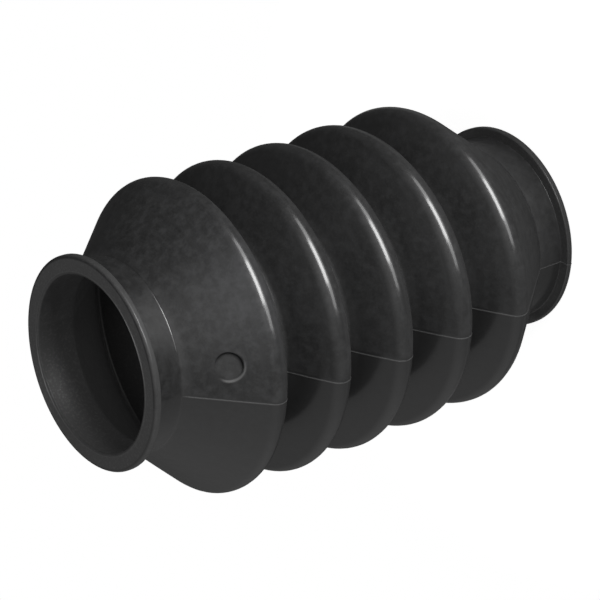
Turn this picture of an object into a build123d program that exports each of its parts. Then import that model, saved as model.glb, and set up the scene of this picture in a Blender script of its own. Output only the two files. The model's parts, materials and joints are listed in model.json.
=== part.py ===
from build123d import *
from math import asin, atan2, cos, degrees, hypot, radians, sin, tan
import os

# Rubber bellows boot, moulded in one piece: a row of round folds between two ends,
# each with a cone, a plain collar and a lip. The ends differ only in the length of
# their cones. Millimetres, +Z up along the boot's axis. The boot stands on its lower
# lip, and the origin is the centre of that lip's face. The mould parts in the XZ plane.

# ---- Driving dimensions ----
length = 198.5               # from the face of one lip to the face of the other
wall = 3.2                   # thickness of the collars, cones and folds
bore_diameter = 66.0         # inside of the collars, which fit over a housing or a rod
collar_length = 14.2         # from a lip's face to the crease at the foot of the cone
lip_height = 3.8             # how far a lip stands out from its collar
lip_thickness = 3.0
lip_front_round = 1.2        # outer edge of a lip, on its face
lip_back_round = 0.7         # outer edge of a lip, on its back
bore_edge_round = 0.7        # edge between a lip's face and the bore
crease_round = 0.6           # outside corner at the foot of a cone
inner_crease_round = 2.5     # the same corner inside, where the bore widens into the cone

fold_count = 5
fold_pitch = 28.1
upper_fold_drop = 41.0       # from the upper lip's face to the crest of the nearest fold
crest_diameter = 118.0       # outside, over the crests of the folds
root_diameter = 82.6         # outside, at the bottom of the valleys between the folds
crest_inner_round = 1.4      # the bend at a crest, measured inside the boot
root_outer_round = 2.0       # the bend at a root, measured outside the boot

# Mark of a round pin of the mould on the upper cone: a recess with a flat floor that
# is tilted, so that it is deepest on one side and runs out on the other.
pin_diameter = 10.0
pin_depth = 0.65             # at the mark's centre
pin_tilt = 5.0               # degrees between its floor and the cone
pin_drop = 27.0              # below the face of the upper lip
pin_turn = 16.0              # degrees round from the mould's parting plane
pin_deep_side = 45.0         # degrees round the mark, from the crest's side

# ---- Derived sizes ----
bore_radius = bore_diameter / 2
collar_radius = bore_radius + wall
lip_radius = collar_radius + lip_height
first_crest = length - upper_fold_drop - (fold_count - 1) * fold_pitch
crest_heights = [first_crest + i * fold_pitch for i in range(fold_count)]

# Each bend at a crest or a root has one centre, shared by the outside and the inside
# of the wall, so that the wall keeps its thickness round the bend.
crest_outer_round = crest_inner_round + wall
root_inner_round = root_outer_round + wall
crest_centre = crest_diameter / 2 - crest_outer_round
root_centre = root_diameter / 2 + root_outer_round

# Each angle is how far a flank's or a cone's surface turns its normal away from
# straight outwards, in degrees. The flanks of a fold touch the bends at its crest and
# roots, and a cone runs from the crease at its collar to the bend of the end crest.
def angle_from_axis(rise, run, round_radii):
    return degrees(atan2(rise, run) + asin(round_radii / hypot(rise, run)))


flank_angle = angle_from_axis(
    crest_centre - root_centre, fold_pitch / 2, crest_outer_round + root_outer_round
)
cone_rise = crest_centre - collar_radius
lower_cone_angle = angle_from_axis(cone_rise, first_crest - collar_length, crest_outer_round)
upper_cone_angle = angle_from_axis(cone_rise, upper_fold_drop - collar_length, crest_outer_round)


def skin(crest_round, root_round):
    """Draw one side of the folds' wall, from the low side of the first crest's bend
    to the high side of the last one's, and return those two points."""
    bends = []
    for i, height in enumerate(crest_heights):
        low = flank_angle if i > 0 else lower_cone_angle
        high = flank_angle if i < fold_count - 1 else upper_cone_angle
        if bends:
            root = (root_centre, height - fold_pitch / 2)
            bends.append(CenterArc(root, root_round, 180 + flank_angle, -2 * flank_angle))
        bends.append(CenterArc((crest_centre, height), crest_round, -low, low + high))
    for below, above in zip(bends, bends[1:]):
        Line(below @ 1, above @ 0)
    return bends[0] @ 0, bends[-1] @ 1


def end(face, inward, cone_angle, outside, inside):
    """Draw one end, from the end crest's bend outside, round the lip, to the same
    bend inside. inward is the way from the lip's face to the folds, 1 or -1."""
    inner_collar_length = collar_length + wall * tan(radians(cone_angle / 2))
    FilletPolyline(
        outside,
        (collar_radius, face + inward * collar_length),
        (collar_radius, face + inward * lip_thickness),
        (lip_radius, face + inward * lip_thickness),
        (lip_radius, face),
        (bore_radius, face),
        (bore_radius, face + inward * inner_collar_length),
        inside,
        radius=[
            crease_round,
            0,  # the lip stands square on its collar
            lip_back_round,
            lip_front_round,
            bore_edge_round,
            inner_crease_round,
        ],
    )


# Place of the pin mark: on the upper cone's surface, with x down the cone towards the
# crest and z out of the surface, then turned to the mark's deep side and tilted.
outwards = Vector(1, 0, 0).rotate(Axis.Z, pin_turn)
upwards = Vector(0, 0, 1)
steepness = radians(upper_cone_angle)
pin_radius = collar_radius + (pin_drop - collar_length) * tan(steepness)
pin_place = Plane(
    origin=outwards * pin_radius + upwards * (length - pin_drop),
    x_dir=outwards * sin(steepness) - upwards * cos(steepness),
    z_dir=outwards * cos(steepness) + upwards * sin(steepness),
)
pin_floor = pin_place.rotated((0, 0, pin_deep_side)).rotated((0, pin_tilt, 0)).offset(-pin_depth)

with BuildPart() as bellows_boot:
    with BuildSketch(Plane.XZ):
        with BuildLine():
            outer_low, outer_high = skin(crest_outer_round, root_outer_round)
            inner_low, inner_high = skin(crest_inner_round, root_inner_round)
            end(0, 1, lower_cone_angle, outer_low, inner_low)
            end(length, -1, upper_cone_angle, outer_high, inner_high)
        make_face()
    revolve(axis=Axis.Z)

    with BuildSketch(pin_floor):
        Circle(pin_diameter / 2)
    extrude(amount=wall, mode=Mode.SUBTRACT)

bellows_boot.part.label = "bellows_boot"

os.makedirs("parts", exist_ok=True)
export_step(bellows_boot.part, "parts/bellows_boot.step")
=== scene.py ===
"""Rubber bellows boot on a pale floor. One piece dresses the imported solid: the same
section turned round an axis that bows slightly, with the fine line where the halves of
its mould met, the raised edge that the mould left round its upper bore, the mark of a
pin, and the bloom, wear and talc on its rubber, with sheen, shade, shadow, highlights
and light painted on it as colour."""
from itertools import pairwise
from math import asin, atan2, ceil, cos, degrees, hypot, pi, radians, sin, tan
from types import SimpleNamespace

import bpy
import numpy as np
from mathutils import Matrix, Vector, noise
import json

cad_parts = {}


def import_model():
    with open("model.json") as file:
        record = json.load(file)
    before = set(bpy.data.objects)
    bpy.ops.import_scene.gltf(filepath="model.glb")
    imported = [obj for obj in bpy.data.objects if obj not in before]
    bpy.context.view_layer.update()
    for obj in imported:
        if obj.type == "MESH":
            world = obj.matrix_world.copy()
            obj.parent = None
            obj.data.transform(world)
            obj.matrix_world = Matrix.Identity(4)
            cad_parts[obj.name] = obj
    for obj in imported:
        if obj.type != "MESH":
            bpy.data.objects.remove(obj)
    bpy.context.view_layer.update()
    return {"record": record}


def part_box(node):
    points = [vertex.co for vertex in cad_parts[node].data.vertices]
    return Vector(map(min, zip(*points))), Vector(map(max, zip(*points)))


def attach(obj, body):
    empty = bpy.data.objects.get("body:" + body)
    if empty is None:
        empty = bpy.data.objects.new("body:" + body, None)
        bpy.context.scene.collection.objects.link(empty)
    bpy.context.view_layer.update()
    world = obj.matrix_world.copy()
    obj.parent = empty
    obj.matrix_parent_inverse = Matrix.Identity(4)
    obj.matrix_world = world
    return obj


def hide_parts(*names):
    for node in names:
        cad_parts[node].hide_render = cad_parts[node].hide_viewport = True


MM = 0.001
NODE = "bellows_boot"

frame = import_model()

# ---- The section of the boot, in millimetres ----
# The lengths that the frame holds come from it, and the others are those of the part.
mounts = {mount["name"]: mount["dims"] for mount in frame["record"]["mounts"]}
node_low, node_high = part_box(NODE)
LENGTH = (node_high.z - node_low.z) / MM
CREST_RADIUS = (node_high.x - node_low.x) / 2 / MM
BORE_RADIUS = mounts["upper_bore"]["r_mm"]
COLLAR_RADIUS = mounts["upper_clip_seat"]["r_mm"]
WALL = COLLAR_RADIUS - BORE_RADIUS
LIP_HEIGHT = 3.8
LIP_RADIUS = COLLAR_RADIUS + LIP_HEIGHT
LIP_THICKNESS = 3.0
COLLAR_LENGTH = 14.2
LIP_FRONT_ROUND = 1.2
LIP_BACK_ROUND = 0.7
LIP_FOOT_ROUND = 0.25
BORE_EDGE_ROUND = 0.7
CREASE_ROUND = 0.6
INNER_CREASE_ROUND = 2.5
FOLD_COUNT = 5
FOLD_PITCH = 28.1
UPPER_FOLD_DROP = 41.0
ROOT_RADIUS = 41.3
CREST_INNER_ROUND = 1.4
ROOT_OUTER_ROUND = 2.0
CREST_OUTER_ROUND = CREST_INNER_ROUND + WALL
ROOT_INNER_ROUND = ROOT_OUTER_ROUND + WALL
CREST_CENTRE = CREST_RADIUS - CREST_OUTER_ROUND
ROOT_CENTRE = ROOT_RADIUS + ROOT_OUTER_ROUND
FIRST_CREST = LENGTH - UPPER_FOLD_DROP - (FOLD_COUNT - 1) * FOLD_PITCH
CREST_HEIGHTS = [FIRST_CREST + i * FOLD_PITCH for i in range(FOLD_COUNT)]
UPPER_CREST = CREST_HEIGHTS[-1]
OUTER_END_BENDS = 4          # of each end: the collar's crease and three of the lip


def angle_from_axis(rise, run, round_radii):
    """Radians between a flank's or a cone's normal and the plane across the boot."""
    return atan2(rise, run) + asin(round_radii / hypot(rise, run))


FLANK_ANGLE = angle_from_axis(
    CREST_CENTRE - ROOT_CENTRE, FOLD_PITCH / 2, CREST_OUTER_ROUND + ROOT_OUTER_ROUND
)
CONE_RISE = CREST_CENTRE - COLLAR_RADIUS
LOWER_CONE_ANGLE = angle_from_axis(CONE_RISE, FIRST_CREST - COLLAR_LENGTH, CREST_OUTER_ROUND)
UPPER_CONE_ANGLE = angle_from_axis(
    CONE_RISE, UPPER_FOLD_DROP - COLLAR_LENGTH, CREST_OUTER_ROUND
)

# ---- The mark of a mould pin on the upper cone ----
# Here and below, a turn is in degrees round the boot from the parting line. A side is in
# degrees round the pin mark, from its side that is nearest to the crest.
PIN_RADIUS = 5.0
PIN_DEPTH = 0.66             # at its centre
PIN_TILT = 7.0               # degrees
PIN_DROP = 27.0              # below the upper lip's face
PIN_TURN = 15.5
PIN_EDGE = 0.26              # half the width of the mark's sloping wall
PIN_SWELL = 0.30             # height of the swell round part of its rim
PIN_DEEP_SIDE = 45.0
# the side of the painted shadow in the mark
PIN_SHADOW_SIDE = 70.0
PIN_SWELL_SIDE = -35.0
# the side of the painted highlight on the swell
PIN_GLINT_SIDE = -55.0
PIN_CONE_RADIUS = COLLAR_RADIUS + (PIN_DROP - COLLAR_LENGTH) * tan(UPPER_CONE_ANGLE)

# ---- The fine raised edge that the mould left round the upper bore, and its painted highlight ----
FLASH_HEIGHT = 0.38
FLASH_HALF_WIDTH = 0.36
FLASH_TURNS = (38.0, 215.0)  # where it was left whole, and where its painted highlight is brightest
FLASH_SPREAD = 24.0          # degrees
FLASH_TRIMMED = 0.2          # the share of its height, and of its painted highlight, that is left elsewhere

# ---- The parting line, along the outside at two opposite sides ----
SEAM_HEIGHT = 0.16
SEAM_HALF_WIDTH = 0.34
SEAM_FADE = 1.0              # it ends in this length, below the upper collar

# ---- How far the boot's axis leaves the straight line, towards +X and +Y ----
BOW = Vector((1.38, -0.94))   # at half height
LEAN = Vector((2.74, -2.33))  # sets the turn of the upper end

# ---- The unevenness of the moulded surface ----
WAVE_HEIGHT = 0.10
WAVE_LENGTH = 26.0

# ---- Soft spots: painted sheen on the upper cone, talc and painted light in the upper bore ----
# A drop is below the upper lip's face, and an arm is the distance from the axis.
# The first spot is a painted sheen on the upper cone, the second talc with painted light on it.
SHEEN_SPOT = dict(turn=43.0, drop=36.0, arm=CREST_CENTRE, width=20.0, depth=12.0)
TALC_AND_LIGHT_SPOT = dict(turn=222.0, drop=3.5, arm=BORE_RADIUS, width=9.0, depth=4.0)
BORE_SHADE_TURN = 155.0           # where the talc in the bores is painted darkest, as shade
BORE_SHADE_SPREAD = 40.0          # degrees
BORE_SHADE_SHARE = 0.55

# ---- How much of each mark there is, where 1 is the most ----
TALC_AND_LIGHT_DEEP = 0.45             # in the bore past its collar: talc with painted light
TALC_FACE = 0.32
# on the lips' backs: talc with painted light
TALC_AND_LIGHT_LIP_BACK = 0.6
TALC_LOWER_COLLAR = 0.03
VALLEY_DULLNESS = 0.85
BORE_WEAR = 0.7
PIN_FLOOR_WEAR = 0.3
# the painted highlight on the pin mark's swell
PIN_RIM_GLINT = 0.45

# ---- Between which two places a mark comes in or fades ----
DEEP_START = (-1.0, 3.0)      # past the end of the bore's collar
VALLEY_END = (1.5, 4.0)       # out from the roots
CREST_START = (3.0, 4.3)      # out from the centres of the crests' bends
LIP_WEAR_START = (-0.8 * LIP_FRONT_ROUND, -0.1)  # out from the lip's outer side
BORE_WEAR_END = (0.6, 1.3)    # from the bore's edge
FACING_DOWN = (-0.45, -0.15)  # by the share of the normal that points up
CREST_FACING = (-0.30, 0.0)   # by the same share

# ---- Which points of the section a mark is on ----
ON_COLLAR = 0.3              # less than this out from a collar is on it
ON_FACE = 0.01               # less than this from a face is on it
UNDERSIDE_START = 1.0        # the dull undersides begin this far out from the collars

# ---- How finely the surface is drawn ----
ARC_STEP = 10.0              # degrees
ARC_LEAST = 3
COLUMN_STEP = 3.0            # degrees
COLUMN_ROOM = 0.3            # degrees kept free beside the parting line's own columns
STRAIGHT_STEP = 3.6
SUPPORT = 0.35               # distance of the first points on a straight from a bend
SEAM_REACH = 1.1             # the mesh is drawn finer as far as this beside the line
SEAM_STOPS = np.array([0.35, 0.7, 1.0, 1.5])                    # in half widths
FLASH_STOPS = np.array([0.35, 0.7, 1.0, 1.3, 1.65, 2.0, 2.6])   # in half widths
PIN_REACH = 8.0              # half the side of the patch of mesh round the pin mark
PIN_RIM_STOPS = np.array([-1.0, -0.7, 0.0, 0.7, 1.0, 1.4, 2.2, 3.2, 4.5, 6.0])
PIN_FLOOR_EDGE = 1.4         # this and the rim's stops are in widths of PIN_EDGE
PIN_FLOOR_RINGS = 7
PIN_OUTER_RINGS = 3
PIN_ROUND_REACH = PIN_RADIUS + 1  # past this, the rings turn into squares


# ---- The section as rows of points ----
def arc(centre, radius, start, sweep):
    """Points (distance from the axis, height) round a bend."""
    steps = max(ARC_LEAST, round(degrees(abs(sweep)) / ARC_STEP))
    return [
        (centre[0] + radius * cos(start + sweep * k / steps),
         centre[1] + radius * sin(start + sweep * k / steps))
        for k in range(steps + 1)
    ]


def fillet(before, corner, after, radius):
    """Points round a corner of the outline, rounded with that radius."""
    corner = Vector(corner)
    back = (Vector(before) - corner).normalized()
    ahead = (Vector(after) - corner).normalized()
    half = back.angle(ahead) / 2
    centre = corner + (back + ahead).normalized() * radius / sin(half)
    first = corner + back * radius / tan(half) - centre
    last = corner + ahead * radius / tan(half) - centre
    start = atan2(first.y, first.x)
    sweep = (atan2(last.y, last.x) - start + pi) % (2 * pi) - pi
    return arc(centre, radius, start, sweep)


def skin(crest_round, root_round):
    """The bends of one side of the folds' wall, from the lowest to the highest."""
    bends = []
    for i, height in enumerate(CREST_HEIGHTS):
        low = FLANK_ANGLE if i > 0 else LOWER_CONE_ANGLE
        high = FLANK_ANGLE if i < FOLD_COUNT - 1 else UPPER_CONE_ANGLE
        if bends:
            root = (ROOT_CENTRE, height - FOLD_PITCH / 2)
            bends.append(arc(root, root_round, pi + FLANK_ANGLE, -2 * FLANK_ANGLE))
        bends.append(arc((CREST_CENTRE, height), crest_round, -low, low + high))
    return bends


def end(face, inward, cone_angle, outside, inside):
    """The bends of one end, from the cone's outside, round the lip, to its inside."""
    inner_collar_length = COLLAR_LENGTH + WALL * tan(cone_angle / 2)
    corners = [
        (outside, 0),
        ((COLLAR_RADIUS, face + inward * COLLAR_LENGTH), CREASE_ROUND),
        ((COLLAR_RADIUS, face + inward * LIP_THICKNESS), LIP_FOOT_ROUND),
        ((LIP_RADIUS, face + inward * LIP_THICKNESS), LIP_BACK_ROUND),
        ((LIP_RADIUS, face), LIP_FRONT_ROUND),
        ((BORE_RADIUS, face), BORE_EDGE_ROUND),
        ((BORE_RADIUS, face + inward * inner_collar_length), INNER_CREASE_ROUND),
        (inside, 0),
    ]
    return [
        fillet(corners[i - 1][0], corners[i][0], corners[i + 1][0], corners[i][1])
        for i in range(1, len(corners) - 1)
    ]


def straight(start, finish, stops=()):
    """Points on a straight between two bends: one close to each, so that smooth
    shading stays in the bends, then any stops, then enough to leave no long gap."""
    span = hypot(finish[0] - start[0], finish[1] - start[1])
    near = min(SUPPORT, span / 3)
    marks = sorted([0, near, *stops, span - near, span])
    places = []
    for a, b in pairwise(marks):
        parts = ceil((b - a) / STRAIGHT_STEP)
        places += [a + (b - a) * k / parts for k in range(parts)]
    return [
        (start[0] + (finish[0] - start[0]) * d / span,
         start[1] + (finish[1] - start[1]) * d / span)
        for d in places[1:]
    ]


def pin_rings():
    """Half sides of the squares of mesh round the pin mark's centre."""
    floor = np.linspace(0, PIN_RADIUS - PIN_FLOOR_EDGE * PIN_EDGE, PIN_FLOOR_RINGS + 1)
    rim = PIN_RADIUS + PIN_EDGE * PIN_RIM_STOPS
    outer = np.linspace(rim[-1], PIN_REACH, PIN_OUTER_RINGS + 1)
    return np.concatenate([floor[1:], rim, outer[1:]])


def outline():
    """Rows round the whole section: distance from the axis, height, 1 outside and 0
    inside, and the distance down the cone from the pin mark's centre, or nan."""
    outer = skin(CREST_OUTER_ROUND, ROOT_OUTER_ROUND)
    inner = skin(CREST_INNER_ROUND, ROOT_INNER_ROUND)
    upper = end(LENGTH, -1, UPPER_CONE_ANGLE, outer[-1][-1], inner[-1][-1])
    lower = end(0, 1, LOWER_CONE_ANGLE, outer[0][0], inner[0][0])
    bends = outer + upper + [bend[::-1] for bend in inner[::-1] + lower[::-1]]
    upper_cone = len(outer) - 1  # this and the next are bends just before a straight
    upper_face = upper_cone + OUTER_END_BENDS
    lower_face = len(bends) - OUTER_END_BENDS
    sides = [float(i <= upper_face or i >= lower_face) for i in range(len(bends))]
    rows = []
    for i, bend in enumerate(bends):
        after = (i + 1) % len(bends)
        start, finish = bend[-1], bends[after][0]
        stops = []
        pin_centre = np.nan
        if i == upper_face:
            span = hypot(finish[0] - start[0], finish[1] - start[1])
            stops = span - FLASH_HALF_WIDTH * FLASH_STOPS
        if i == upper_cone:
            pin_centre = (LENGTH - PIN_DROP - start[1]) / cos(UPPER_CONE_ANGLE)
            stops = [pin_centre, *(pin_centre - pin_rings()), *(pin_centre + pin_rings())]
        rows += [(r, z, sides[i], np.nan) for r, z in bend]
        rows += [
            (r, z, sides[i] * sides[after], pin_centre - hypot(r - start[0], z - start[1]))
            for r, z in straight(start, finish, stops)
        ]
    return np.array(rows).T


# ---- The mesh ----
def columns():
    """Lines of points along the boot: the angle of each round the axis, its distance
    beside the parting line in millimetres, or 0, and that beside the pin mark, or nan."""
    seam = np.append(SEAM_HALF_WIDTH * SEAM_STOPS, SEAM_REACH)
    pin_place = radians(PIN_TURN)
    lines = [(place, off, np.nan) for place in (0, pi) for off in (0, *seam, *-seam)]
    lines += [
        (pin_place + off / PIN_CONE_RADIUS, 0, off)
        for off in (0, *pin_rings(), *-pin_rings())
    ]
    seam_room = SEAM_REACH / BORE_RADIUS + radians(COLUMN_ROOM)
    pin_room = PIN_REACH / PIN_CONE_RADIUS + radians(COLUMN_STEP / 3)
    for angle in np.radians(np.arange(-90, 270, COLUMN_STEP)):
        from_seam = min(abs(angle), abs(angle - pi))
        if from_seam > seam_room and abs(angle - pin_place) > pin_room:
            lines.append((angle, 0, np.nan))
    lines.sort(key=lambda line: line[0] + line[1] / CREST_RADIUS)
    return np.array(lines, float).T


def smooth(value, low, high):
    """0 below low and 1 above high, with a soft change between."""
    t = np.clip((value - low) / (high - low), 0, 1)
    return t * t * (3 - 2 * t)


def along_side(down, across, side):
    """Distance from the pin mark's centre towards one side of it."""
    return down * cos(radians(side)) + across * sin(radians(side))


def on_side(down, across, side, low, high):
    """0 to 1 across the pin mark towards one side of it. low and high are distances
    from its centre, in radii of the mark."""
    return smooth(along_side(down, across, side), low * PIN_RADIUS, high * PIN_RADIUS)


def from_rim(down, across):
    """Distance outwards from the pin mark's edge, in widths of PIN_EDGE."""
    return (np.hypot(down, across) - PIN_RADIUS) / PIN_EDGE


def pin_recess(down, across):
    """Depth of the pin mark: a flat floor on a curved cone, deepest on one side and
    run out on the other, with a swell round part of its rim."""
    curvature = cos(UPPER_CONE_ANGLE) / PIN_CONE_RADIUS
    deep = along_side(down, across, PIN_DEEP_SIDE)
    floor = PIN_DEPTH + deep * tan(radians(PIN_TILT)) - across**2 * curvature / 2
    off = from_rim(down, across)
    wall = 1 - np.clip(off / 2 + 0.5, 0, 1)
    swell = smooth(off, 0, 3) * (1 - smooth(off, 3, 7))
    swell *= on_side(down, across, PIN_SWELL_SIDE, -0.3, 0.7)
    return np.maximum(floor, 0) * wall - PIN_SWELL * swell


def pin_painted_shadow(down, across):
    """1 at the foot of the mark's deep wall, where its shadow is painted, and 0 elsewhere."""
    off = from_rim(down, across)
    foot = smooth(off, -5, -PIN_FLOOR_EDGE) * (1 - smooth(off, 0, 0.7))
    return foot * on_side(down, across, PIN_SHADOW_SIDE, -0.2, 0.5)


def pin_glint(down, across):
    """1 on the part of the mark's swell that has a painted highlight, and 0 elsewhere."""
    off = from_rim(down, across)
    swell = smooth(off, -1, 1) * (1 - smooth(off, 2, 5))
    return swell * on_side(down, across, PIN_GLINT_SIDE, 0.1, 0.8)


def pin_floor(down, across):
    """1 on the mark's floor and 0 elsewhere."""
    return 1 - smooth(from_rim(down, across), -3, -1)


# Of these parts, the shadow in the mark and the highlight on its swell are painted.
PIN_PARTS = dict(recess=pin_recess, painted_shadow=pin_painted_shadow, rubbed_and_glint=pin_glint, floor=pin_floor)


def grid(rows, cols):
    """Distance from the axis, height and angle of every point, and the pin mark's parts
    there. The rows and columns near the mark are drawn into rings about it."""
    radius, height, _, down = (row[:, None] for row in rows)
    angle, beside, across = (col[None, :] for col in cols)
    shape = (radius.size, angle.size)
    theta = angle + beside / radius
    radius, height = (np.broadcast_to(a, shape).copy() for a in (radius, height))
    down, across = (np.broadcast_to(a, shape) for a in (down, across))
    square = np.maximum(abs(down), abs(across))
    near = square <= PIN_REACH + 1e-6

    down, across, square = down[near], across[near], square[near]
    ring = np.hypot(down, across)
    pull = 1 - smooth(square, PIN_ROUND_REACH, PIN_REACH)
    scale = 1 + pull * (square / np.maximum(ring, 1e-9) - 1)
    down, across = down * scale, across * scale
    radius[near] = PIN_CONE_RADIUS + down * sin(UPPER_CONE_ANGLE)
    height[near] = LENGTH - PIN_DROP - down * cos(UPPER_CONE_ANGLE)
    arm = pull * radius[near] + (1 - pull) * PIN_CONE_RADIUS
    theta[near] = radians(PIN_TURN) + across / arm
    pin = {name: np.zeros(shape) for name in PIN_PARTS}
    for name, part in PIN_PARTS.items():
        pin[name][near] = part(down, across)
    return radius, height, theta, pin


def normals(rows):
    """The section's normal at each row, away from the rubber: outwards and up."""
    radius, height = rows[:2]
    along = np.stack([np.roll(radius, -1) - np.roll(radius, 1),
                      np.roll(height, -1) - np.roll(height, 1)])
    along /= np.hypot(*along)
    return along[1], -along[0]


def seam_line(rows, cols, height):
    """Height of the parting line at every point, from 0 to 1. It runs along the outside
    from the lower lip to the foot of the upper cone."""
    angle, beside, _ = cols
    line = np.clip(1 - abs(beside) / SEAM_HALF_WIDTH, 0, 1)
    line *= np.isclose(np.sin(angle), 0, atol=1e-6)
    crease = LENGTH - COLLAR_LENGTH
    return line * rows[2][:, None] * (1 - smooth(height, crease - SEAM_FADE, crease))


def flash(rows, theta):
    """Height of the raised edge of the upper bore at every point, from 0 to 1, which is also
    the amount of the painted highlight on it. It was left whole at some turns and trimmed
    elsewhere."""
    radius, height = rows[:2]
    off = abs(radius - BORE_RADIUS - BORE_EDGE_ROUND - FLASH_HALF_WIDTH) / FLASH_HALF_WIDTH
    edge = np.clip(1 - off, 0, 1) * (height > LENGTH - BORE_EDGE_ROUND)
    turn = np.degrees(theta) % 360
    whole = sum(np.exp(-((turn - place) / FLASH_SPREAD)**2) for place in FLASH_TURNS)
    return edge[:, None] * (FLASH_TRIMMED + (1 - FLASH_TRIMMED) * whole)


def waves(x, y, z):
    """Unevenness of the moulded surface."""
    places = zip(x.flat, y.flat, z.flat)
    values = [noise.noise(Vector(place) / WAVE_LENGTH) for place in places]
    return WAVE_HEIGHT * np.reshape(values, x.shape)


def bend_axis(x, y, z):
    """Move points from the straight axis to the one that bows and leans. The middles of
    both ends stay where they are. The bow is a curve that is 1 at half the height."""
    up = z / LENGTH
    bow = 16 * up**2 * (1 - up)**2
    lean = up**3 * (1 - up)
    bow_slope = 32 * up * (1 - up) * (1 - 2 * up) / LENGTH
    lean_slope = up**2 * (3 - 4 * up) / LENGTH
    tilt_x = BOW.x * bow_slope + LEAN.x * lean_slope
    tilt_y = BOW.y * bow_slope + LEAN.y * lean_slope
    return (x + BOW.x * bow + LEAN.x * lean,
            y + BOW.y * bow + LEAN.y * lean,
            z - x * tilt_x - y * tilt_y)


def quads(n_rows, n_cols):
    """The corners of every face. The rows and the columns both close on themselves."""
    i = np.arange(n_rows)[:, None]
    j = np.arange(n_cols)[None, :]
    i_next, j_next = (i + 1) % n_rows, (j + 1) % n_cols
    faces = np.stack([i * n_cols + j, i * n_cols + j_next,
                      i_next * n_cols + j_next, i_next * n_cols + j], axis=-1)
    return faces.reshape(-1, 4).tolist()


def boot_mesh():
    """The boot as one closed sheet of quads, painted with what the rubber reads."""
    rows, cols = outline(), columns()
    radius, height, theta, pin = grid(rows, cols)
    seam = seam_line(rows, cols, height)
    edge = flash(rows, theta)
    x, y = radius * np.cos(theta), radius * np.sin(theta)
    rise = seam * SEAM_HEIGHT - pin["recess"] + waves(x, y, height) + edge * FLASH_HEIGHT
    out, up = (part[:, None] for part in normals(rows))
    x += rise * out * np.cos(theta)
    y += rise * out * np.sin(theta)
    points = np.stack(bend_axis(x, y, height + rise * up), axis=-1).reshape(-1, 3) * MM

    mesh = bpy.data.meshes.new("boot")
    mesh.from_pydata(points.tolist(), [], quads(*radius.shape))
    mesh.update()
    for name, values in paints(rows, height, theta, seam, edge, pin).items():
        layer = mesh.attributes.new(name, "FLOAT", "POINT")
        values = np.broadcast_to(values, radius.shape)
        layer.data.foreach_set("value", values.ravel().astype(np.float32))
    mesh.shade_smooth()
    return mesh


# ---- What is painted on the points of the mesh, from 0 to 1 ----
def paints(rows, height, theta, seam, edge, pin):
    """The amount of each mark at every point, or one for each row."""
    outside = rows[2][:, None]
    return {
        "seam": seam,
        "outside": outside,
        "worn": np.maximum(worn(rows)[:, None], PIN_FLOOR_WEAR * pin["floor"]),
        # a painted highlight on the bore's raised edge and on part of the pin mark's swell
        "edge": np.maximum(edge, PIN_RIM_GLINT * pin["rubbed_and_glint"]),
        # a painted shadow at the foot of the pin mark's deep wall
        "painted_shadow": pin["painted_shadow"],
        # a painted sheen on the upper cone
        "painted_sheen": outside * spot(theta, height, **SHEEN_SPOT),
        # talc with painted light, at one spot in the upper bore
        "talc_and_light_spot": (1 - outside) * spot(theta, height, **TALC_AND_LIGHT_SPOT),
        "under": under(rows)[:, None],
        # painted shade on the upper collar
        "collar_shade": collar_shade(rows)[:, None],
        "crest": crest(rows)[:, None],
        # talc and dust, with painted light inside and on the lips' backs, and painted shade in
        # the bores at one turn
        "talc_and_light": talc_and_light(rows)[:, None] * (1 - (1 - outside) * painted_bore_shade(theta, height)),
    }


def spot(theta, height, turn, drop, arm, width, depth):
    """1 in the middle of a soft spot and less away from it. turn is in degrees, drop is
    below the upper lip's face, and arm is the spot's distance from the axis."""
    across = (theta - radians(turn)) * arm / width
    down = (LENGTH - drop - height) / depth
    return np.exp(-across**2 - down**2)


def painted_bore_shade(theta, height):
    """The share of the bores' talc and painted light that is taken away as painted shade, most
    at one turn. The rounded edge of the upper bore keeps all of its own."""
    off = (theta % (2 * pi) - radians(BORE_SHADE_TURN)) / radians(BORE_SHADE_SPREAD)
    return BORE_SHADE_SHARE * np.exp(-off**2) * (height < LENGTH - BORE_EDGE_ROUND - SUPPORT / 2)


def from_face(height):
    """Distance along the boot from the face of its nearer end."""
    return np.minimum(height, LENGTH - height)


def under(rows):
    """1 where the boot's outside faces down, which is dull, nearly that in the valleys
    between its folds, and 0 elsewhere. The collars are left out."""
    radius, height, outside = rows[:3]
    down = 1 - smooth(normals(rows)[1], *FACING_DOWN)
    down *= radius > COLLAR_RADIUS + UNDERSIDE_START
    valley = VALLEY_DULLNESS * (1 - smooth(radius - ROOT_RADIUS, *VALLEY_END))
    valley *= (height > FIRST_CREST) * (height < UPPER_CREST)
    return outside * np.maximum(down, valley)


def collar_shade(rows):
    """1 on the upper collar, which is painted darker as shade, and 0 elsewhere."""
    radius, height, outside = rows[:3]
    return outside * (radius < COLLAR_RADIUS + ON_COLLAR) * (height > UPPER_CREST)


def worn(rows):
    """How much each row is worn by handling and fitting: the lips' outer sides and the
    edges of their bores."""
    radius, height, outside = rows[:3]
    lip = outside * smooth(radius - LIP_RADIUS, *LIP_WEAR_START)
    bore = 1 - smooth(np.hypot(radius - BORE_RADIUS, from_face(height)), *BORE_WEAR_END)
    return np.maximum(lip * (from_face(height) < LIP_THICKNESS), BORE_WEAR * bore)


def crest(rows):
    """1 on the folds' crests and on the collars' creases, which are polished by rubbing
    and by the mould, and 0 on the flanks, the cones and the crests' undersides."""
    radius, height, outside = rows[:3]
    fold = smooth(radius - CREST_CENTRE, *CREST_START)
    fold *= smooth(normals(rows)[1], *CREST_FACING)
    from_crease = abs(from_face(height) - COLLAR_LENGTH)
    crease = 1 - smooth(from_crease, CREASE_ROUND, 3 * CREASE_ROUND)
    return outside * np.maximum(fold, crease)


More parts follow.
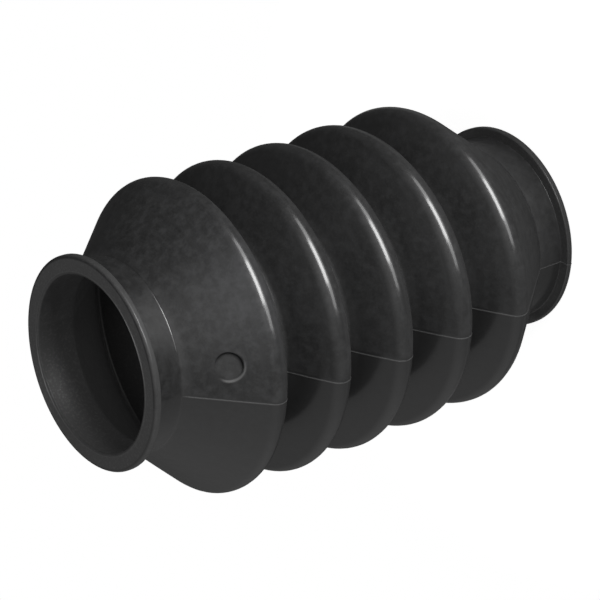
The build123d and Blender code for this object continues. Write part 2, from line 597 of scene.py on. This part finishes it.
def talc_and_light(rows):
    """How much talc and dust each row holds, with painted light in it on the deeper inside
    and on the lips' backs: 1 in the bores' collars, less deeper inside and on the lips'
    faces and backs, a trace on the lower collar, and 0 on the rest of the outside."""
    radius, height, outside = rows[:3]
    from_end = from_face(height)
    deep = smooth(from_end - COLLAR_LENGTH, *DEEP_START)
    inside = (1 - outside) * (1 - (1 - TALC_AND_LIGHT_DEEP) * deep)
    face = TALC_FACE * (from_end < ON_FACE)
    lip_back = (abs(from_end - LIP_THICKNESS) < ON_FACE) * (radius > COLLAR_RADIUS)
    outer = np.maximum(TALC_AND_LIGHT_LIP_BACK * lip_back, TALC_LOWER_COLLAR * (height < COLLAR_LENGTH))
    return np.maximum(inside, np.maximum(face, outside * outer))


# ---- The rubber ----
class Nodes:
    """Adds nodes to one material and links them."""

    def __init__(self, name):
        self.material = bpy.data.materials.new(name)
        self.material.use_nodes = True
        self.tree = self.material.node_tree
        self.shader = self.tree.nodes["Principled BSDF"]

    def add(self, kind, **settings):
        """A new node of that kind."""
        node = self.tree.nodes.new("ShaderNode" + kind)
        for key, value in settings.items():
            setattr(node, key, value)
        return node

    def feed(self, target, source):
        """Link a socket to the target, or set a value on it."""
        if isinstance(source, bpy.types.NodeSocket):
            self.tree.links.new(source, target)
        else:
            target.default_value = source

    def shade(self, name, source):
        """The same for the shader's own socket of that name."""
        self.feed(self.shader.inputs[name], source)

    def attribute(self, name):
        """What is painted on the points of the mesh under that name."""
        return self.add("Attribute", attribute_name=name).outputs["Fac"]

    def place(self):
        """The point's x, y and z on the object."""
        split = self.add("SeparateXYZ")
        self.feed(split.inputs[0], self.add("TexCoord").outputs["Object"])
        return [split.outputs[name] for name in "XYZ"]

    def noise(self, size, detail=3.0, roughness=0.55):
        """Noise with features of about that size, in millimetres, from 0 to 1."""
        node = self.add("TexNoise")
        self.feed(node.inputs["Vector"], self.add("TexCoord").outputs["Object"])
        self.feed(node.inputs["Scale"], 1 / (size * MM))
        self.feed(node.inputs["Detail"], detail)
        self.feed(node.inputs["Roughness"], roughness)
        return node.outputs["Fac"]

    def smears(self, length, width):
        """Noise drawn out round the boot's axis: features of about that length and
        width, in millimetres."""
        x, y, z = self.place()
        around = self.math("MULTIPLY", self.math("ARCTAN2", y, x), ROOT_RADIUS / length)
        squares = [self.math("MULTIPLY", side, side) for side in (x, y)]
        out = self.math("POWER", self.math("ADD", *squares), 0.5)
        join = self.add("CombineXYZ")
        self.feed(join.inputs["X"], around)
        self.feed(join.inputs["Y"], self.math("DIVIDE", z, width * MM))
        self.feed(join.inputs["Z"], self.math("DIVIDE", out, width * MM))
        node = self.add("TexNoise")
        self.feed(node.inputs["Vector"], join.outputs[0])
        self.feed(node.inputs["Scale"], 1.0)
        self.feed(node.inputs["Detail"], 3.0)
        return node.outputs["Fac"]

    def math(self, operation, *values):
        """The result of one operation on sockets or values."""
        node = self.add("Math", operation=operation)
        for socket, value in zip(node.inputs, values):
            self.feed(socket, value)
        return node.outputs[0]

    def times(self, *values):
        """All the values multiplied."""
        product = values[0]
        for value in values[1:]:
            product = self.math("MULTIPLY", product, value)
        return product

    def total(self, *values):
        """All the values added."""
        result = values[0]
        for value in values[1:]:
            result = self.math("ADD", result, value)
        return result

    def between(self, value, low, high, at_low=0.0, at_high=1.0):
        """value spread from low..high to at_low..at_high, held at both."""
        node = self.add("MapRange")
        for name, given in (("Value", value), ("From Min", low), ("From Max", high),
                            ("To Min", at_low), ("To Max", at_high)):
            self.feed(node.inputs[name], given)
        return node.outputs["Result"]

    def mix(self, factor, a, b):
        """Colour a where the factor is 0, and b where it is 1."""
        node = self.add("Mix", data_type="RGBA")
        self.feed(node.inputs["Factor"], factor)
        self.feed(node.inputs[6], a)
        self.feed(node.inputs[7], b)
        return node.outputs[2]


class WorldNodes(Nodes):
    """The same for the world."""

    def __init__(self, name):
        self.world = bpy.data.worlds.new(name)
        self.world.use_nodes = True
        self.tree = self.world.node_tree
        self.shader = self.tree.nodes["Background"]
        bpy.context.scene.world = self.world


BLACK = (0.019, 0.019, 0.0191, 1)
GREY = (0.026, 0.026, 0.0262, 1)
BLOOM = (0.050, 0.0504, 0.0512, 1)
SMOOTH = (0.018, 0.018, 0.0182, 1)
# the painted sheen on the upper cone
SHEEN_GREY = (0.066, 0.0665, 0.070, 1)
WORN = (0.056, 0.056, 0.056, 1)
# talc, with painted light inside
TALC_AND_LIGHT = (0.16, 0.16, 0.16, 1)
# talc with painted light, at one spot in the upper bore
PALE = (0.30, 0.30, 0.30, 1)
SEAM_GREY = (0.08, 0.08, 0.08, 1)
# painted highlight
GLINT_GREY = (0.24, 0.24, 0.24, 1)
# painted shade and shadow, on the upper collar and in the pin mark
SHADE_BLACK = (0.003, 0.003, 0.003, 1)

# Sizes of the rubber's marks, in millimetres.
TONE_SIZE = 24.0
CLOUD_SIZE = 3.4
SMEAR_LENGTH = 16.0
SMEAR_WIDTH = 2.6
SPECK_SIZE = 0.9
RUBBED_SIZE = 2.0
RAGGED_SIZE = 1.2
SHEEN_SIZE = 3.0
DENT_SIZE = 5.0
GRAIN_SIZE = 0.5
RELIEF_HEIGHT = 0.12
SEAM_CHANGE = 0.3            # the bloom comes in over this distance from the seam
CONE_CHANGE = 3.0            # and the cone's stronger bloom over this, above its crest
FOLD_BLOOM = 0.42            # how strong the bloom is, where 1 is all of its colour
CONE_BLOOM = 0.75
SMOOTH_SHARE = 0.2           # the share of the bloom that the smooth half has
GRAIN_SHARE = 0.12           # the height of the grain, where that of the dents is 1


def rubber():
    """Satin black rubber. The half of the moulding towards +Y has cloudy bloom, and
    smears along its folds, and the other half is smooth and glossier. The crests are
    polished, the lips and edges worn, the valleys and the sides that face down dull,
    and the inside is dull and dusted with talc, most at one spot. Painted on as colour
    are a sheen on the upper cone, shade on the upper collar and in the bores at one
    turn, a shadow in the pin mark, highlights on the bore's raised edge and the pin
    mark's swell, and light in the talc inside and on the lips' backs."""
    nodes = Nodes("black_rubber")
    marks = rubber_marks(nodes)
    nodes.shade("Base Color", rubber_colour(nodes, marks))
    nodes.shade("Roughness", rubber_roughness(nodes, marks))
    nodes.shade("IOR", 1.42)
    nodes.shade("Coat Weight", rubber_gloss(nodes, marks))
    nodes.shade("Coat Roughness", 0.15)
    nodes.shade("Coat IOR", 1.6)
    nodes.shade("Normal", rubber_relief(nodes))
    return nodes.material


def rubber_marks(nodes):
    """The marks that the rubber's looks are made from, from 0 to 1."""
    y = nodes.place()[1]
    marks = SimpleNamespace()
    marks.outside = nodes.attribute("outside")
    marks.worn = nodes.attribute("worn")
    marks.painted_shadow = nodes.attribute("painted_shadow")
    marks.under = nodes.attribute("under")
    marks.bloomed = nodes.between(y, 0, SEAM_CHANGE * MM)
    marks.bloom_share = nodes.between(marks.bloomed, 0, 1, SMOOTH_SHARE, 1.0)
    marks.clouds = nodes.between(nodes.noise(CLOUD_SIZE, 5.0, 0.62), 0.40, 0.66)
    smears = nodes.between(nodes.smears(SMEAR_LENGTH, SMEAR_WIDTH), 0.45, 0.75, 0, 0.7)
    marks.patches = nodes.times(nodes.math("MAXIMUM", marks.clouds, smears), marks.bloom_share)
    marks.specks = nodes.between(nodes.noise(SPECK_SIZE, 3.0), 0.50, 0.74)
    return marks


def rubber_colour(nodes, marks):
    """The plain rubber, with a layer of colour for each mark on it. Some layers are painted
    sheen, shade, shadow, highlights and light.
    """
    tone = nodes.between(nodes.noise(TONE_SIZE, 2.0), 0.3, 0.7)
    z = nodes.place()[2]
    cone_start, cone_full = UPPER_CREST * MM, (UPPER_CREST + CONE_CHANGE) * MM
    bloom = nodes.between(z, cone_start, cone_full, FOLD_BLOOM, CONE_BLOOM)
    speckled = nodes.between(marks.bloomed, 0, 1, 0.06, 0.25)
    patchy_sheen = nodes.between(marks.clouds, 0, 1, 0.5, 1.0)
    talc_and_light_specks = nodes.between(marks.specks, 0, 1, 0.55, 0.9)
    pale = nodes.between(marks.specks, 0, 1, 0.3, 0.9)
    rubbed_and_glint = nodes.between(nodes.noise(RUBBED_SIZE), 0.3, 0.7, 0.6, 1)
    ragged = nodes.between(nodes.noise(RAGGED_SIZE), 0.3, 0.6, 0.5, 1)
    layers = [
        (nodes.between(marks.bloomed, 0, 1, 0.8, 0), SMOOTH),
        (nodes.times(marks.patches, bloom), BLOOM),
        (nodes.times(marks.specks, speckled), BLOOM),
        # a painted sheen on the upper cone, broken up by the clouds
        (nodes.times(nodes.attribute("painted_sheen"), patchy_sheen, 0.6), SHEEN_GREY),
        # painted shade on the upper collar, less on the smooth half
        (nodes.times(nodes.attribute("collar_shade"), marks.bloom_share, 0.35), SHADE_BLACK),
        # talc and dust, with painted light inside and on the lips' backs
        (nodes.times(nodes.attribute("talc_and_light"), talc_and_light_specks), TALC_AND_LIGHT),
        # talc with painted light, at one spot in the upper bore
        (nodes.times(nodes.attribute("talc_and_light_spot"), pale), PALE),
        (nodes.times(marks.worn, rubbed_and_glint), WORN),
        (nodes.between(nodes.times(nodes.attribute("seam"), ragged), 0.15, 0.5), SEAM_GREY),
        # the painted highlight on the bore's raised edge and on the pin mark's swell
        (nodes.attribute("edge"), GLINT_GREY),
        # the painted shadow in the pin mark
        (nodes.times(marks.painted_shadow, 0.8), SHADE_BLACK),
    ]
    base = nodes.mix(tone, BLACK, GREY)
    for amount, colour in layers:
        base = nodes.mix(amount, base, colour)
    return base


def rubber_roughness(nodes, marks):
    """Rougher where it is bloomed, worn, in the pin mark's painted shadow, dull or inside."""
    return nodes.total(
        nodes.between(marks.patches, 0, 1, 0.40, 0.47),
        nodes.between(nodes.noise(SHEEN_SIZE), 0.3, 0.7, -0.03, 0.04),
        nodes.times(marks.worn, 0.12),
        nodes.between(marks.outside, 0, 1, 0.08, 0),
        nodes.times(marks.painted_shadow, 0.4),
        nodes.times(marks.under, 0.45),
    )


def rubber_gloss(nodes, marks):
    """The weight of the sharp sheen: most on the crests and on the smooth half, and none
    where it is dull or in the pin mark's painted shadow."""
    smooth_half = nodes.between(marks.bloomed, 0, 1, 0.9, 0)
    polished = nodes.math("MAXIMUM", nodes.attribute("crest"), smooth_half)
    return nodes.times(
        nodes.between(nodes.times(polished, marks.outside), 0, 1, 0.3, 1.0),
        nodes.between(marks.under, 0, 1, 1.0, 0.0),
        nodes.between(marks.worn, 0, 1, 1.0, 0.8),
        nodes.between(marks.painted_shadow, 0, 1, 1.0, 0.0),
    )


def rubber_relief(nodes):
    """Shallow dents with a fine grain on them."""
    grain = nodes.times(nodes.noise(GRAIN_SIZE, 2.0), GRAIN_SHARE)
    bump = nodes.add("Bump")
    bump.inputs["Strength"].default_value = 0.35
    bump.inputs["Distance"].default_value = RELIEF_HEIGHT * MM
    nodes.feed(bump.inputs["Height"], nodes.total(grain, nodes.noise(DENT_SIZE, 2.0)))
    return bump.outputs["Normal"]


def put(name, data):
    """A new object of the scene."""
    made = bpy.data.objects.new(name, data)
    bpy.context.scene.collection.objects.link(made)
    return made


def boot():
    """The visible piece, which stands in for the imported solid."""
    mesh = boot_mesh()
    mesh.materials.append(rubber())
    piece = put("boot", mesh)
    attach(piece, "root")
    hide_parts(NODE)


# ---- The studio, in metres ----
KEY_HEADING = 53.0
BOOT_MIDDLE = Vector((0, 0, LENGTH / 2)) * MM
WORLD_LOW = 0.045
# The level, heading, elevation and sharpness of each glow of the world.
GLOWS = [
    (0.17, -66, -8, 2.5),
    (0.22, -60, 34, 2.2),
    (0.60, 46, 52, 7),
    (0.12, 214, 50, 8),
]
FLOOR_RADIUS = 0.15
FLOOR_GREY = (0.42, 0.42, 0.42, 1)
FLOOR_SEEN = 0.92            # its own light, for the camera
FLOOR_MIRRORED = 0.02        # and for the rubber, which shows no white mirror image
WHITE = (1, 1, 1, 1)


def towards(heading, elevation):
    """Unit vector, with the heading in degrees from +X towards +Y."""
    a, e = radians(heading), radians(elevation)
    return Vector((cos(a) * cos(e), sin(a) * cos(e), sin(e)))


def softbox(name, heading, elevation, distance, width, height, radiance):
    """A soft rectangular lamp on that side of the boot, turned towards its middle.
    radiance is how bright its face is, where 1 is white."""
    lamp = bpy.data.lights.new(name, "AREA")
    lamp.shape = "RECTANGLE"
    lamp.size, lamp.size_y = width, height
    lamp.energy = radiance * pi * width * height
    holder = put(name, lamp)
    way = towards(heading, elevation)
    holder.location = BOOT_MIDDLE + way * distance
    holder.rotation_euler = way.to_track_quat("Z", "Y").to_euler()
    holder.visible_camera = False
    return holder


def lamps():
    """The key lamp, a wide weaker one just behind and below it that softens its edges,
    and a small one in the boot that stands for the light from its open far end. A
    distance below 0 puts that one over the boot's middle, so that it shines upwards."""
    softbox("key", KEY_HEADING, 1, distance=1.50, width=0.78, height=0.68, radiance=8.8)
    softbox("key_skirt", KEY_HEADING, -8, distance=1.55, width=1.90, height=0.74, radiance=2.5)
    inside = softbox("inside", 0, -90, distance=-0.028, width=0.03, height=0.03, radiance=3.5)
    inside.visible_glossy = False


def world(low, glows):
    """Dim light from all round, with wide soft glows on it. The camera itself sees
    white there."""
    nodes = WorldNodes("studio")
    direction = nodes.add("TexCoord").outputs["Generated"]
    level = low
    for strength, heading, elevation, sharpness in glows:
        facing = nodes.add("VectorMath", operation="DOT_PRODUCT")
        nodes.feed(facing.inputs[0], direction)
        nodes.feed(facing.inputs[1], towards(heading, elevation))
        glow = nodes.math("POWER", nodes.math("MAXIMUM", facing.outputs["Value"], 0), sharpness)
        level = nodes.total(level, nodes.times(glow, strength))
    seen = nodes.add("LightPath").outputs["Is Camera Ray"]
    nodes.shade("Strength", nodes.math("MAXIMUM", level, seen))
    nodes.shade("Color", WHITE)


def floor():
    """A round pale floor that ends close to the boot, where the camera sees white past
    its edge, so that the low key lamp still reaches the whole boot."""
    mesh = bpy.data.meshes.new("floor")
    corners = [towards(heading, 0) * FLOOR_RADIUS for heading in range(0, 360, 5)]
    mesh.from_pydata(corners, [], [range(len(corners))])
    nodes = Nodes("floor")
    nodes.shade("Base Color", FLOOR_GREY)
    nodes.shade("Roughness", 0.9)
    nodes.shade("Specular IOR Level", 0.0)
    nodes.shade("Emission Color", WHITE)
    path = nodes.add("LightPath")
    seen = nodes.times(path.outputs["Is Camera Ray"], FLOOR_SEEN)
    mirrored = nodes.times(path.outputs["Is Glossy Ray"], FLOOR_MIRRORED)
    nodes.shade("Emission Strength", nodes.total(seen, mirrored))
    mesh.materials.append(nodes.material)
    piece = put("floor", mesh)


# ---- The camera ----
# It looks down on the boot from one side, and is rolled so that the standing boot lies
# across the picture.
CAMERA_HEADING = 34.596
CAMERA_ELEVATION = 34.853
CAMERA_ROLL = 108.739
CAMERA_DISTANCE = 1.11131
CAMERA_AIM = Vector((-0.26, -2.97, 101.97)) * MM
CAMERA_LENS = 178.43
CAMERA_SENSOR = 36.0
CAMERA_CLIP = (0.05, 20.0)


def camera():
    """The camera that sees the boot as the photo does."""
    back = towards(CAMERA_HEADING, CAMERA_ELEVATION)
    level = Vector((0, 0, 1)).cross(back).normalized()
    upright = back.cross(level)
    roll = radians(CAMERA_ROLL)
    up = upright * cos(roll) + level * sin(roll)
    right = up.cross(back)
    lens = bpy.data.cameras.new("camera")
    lens.lens = CAMERA_LENS
    lens.sensor_width = CAMERA_SENSOR
    lens.clip_start, lens.clip_end = CAMERA_CLIP
    holder = put("camera", lens)
    turn = Matrix((right, up, back)).transposed().to_4x4()
    holder.matrix_world = Matrix.Translation(CAMERA_AIM + back * CAMERA_DISTANCE) @ turn
    bpy.context.scene.camera = holder


boot()
floor()
world(WORLD_LOW, GLOWS)
lamps()
camera()
bpy.context.scene.view_settings.view_transform = "Standard"
